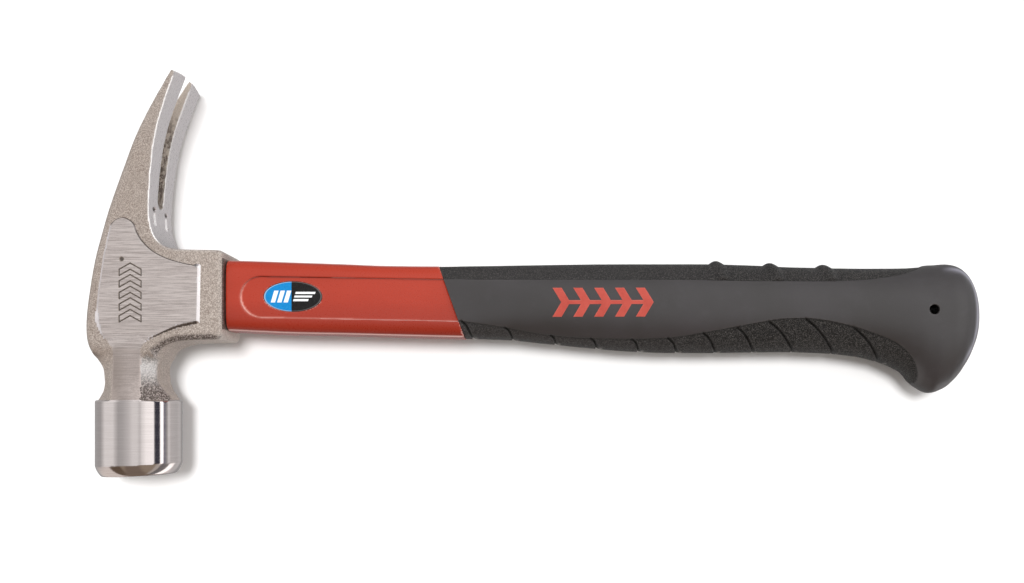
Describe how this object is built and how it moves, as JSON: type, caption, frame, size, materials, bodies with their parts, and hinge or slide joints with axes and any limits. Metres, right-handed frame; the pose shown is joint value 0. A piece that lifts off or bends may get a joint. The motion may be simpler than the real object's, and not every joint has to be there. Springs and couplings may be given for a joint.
{
  "type": "claw hammer",
  "caption": "Rip-claw hammer with a forged steel head, adze eye and round poll on a fibreglass-cored handle with a moulded jacket and a black rubber grip.",
  "frame": {"origin": "centre of the underside of the hammer's box, as it lies on its side", "axes": "+X along the handle from the head to the butt, +Y towards the claw and away from the striking face, +Z through the thickness, away from the surface it lies on"},
  "size_m": [0.336, 0.1524, 0.0323],
  "materials": {
    "forged_steel": "blasted forging with ground cheek panels, brushed poll and polished rim",
    "epoxy": "satin cured resin",
    "fibreglass": "drawn fibre rod",
    "red_polymer": "satin moulded",
    "black_rubber": "matt with grained bands",
    "red_inlay": "satin",
    "label_film": "printed film under a clear coat"
  },
  "bodies": {
    "root": {"head": "forged_steel", "epoxy_bond": "epoxy", "core_rod": "fibreglass", "handle_jacket": "red_polymer", "grip": "black_rubber", "grip_inlay_front": "red_inlay", "grip_inlay_back": "red_inlay", "label_front": "label_film", "label_back": "label_film"}
  },
  "joints": []
}
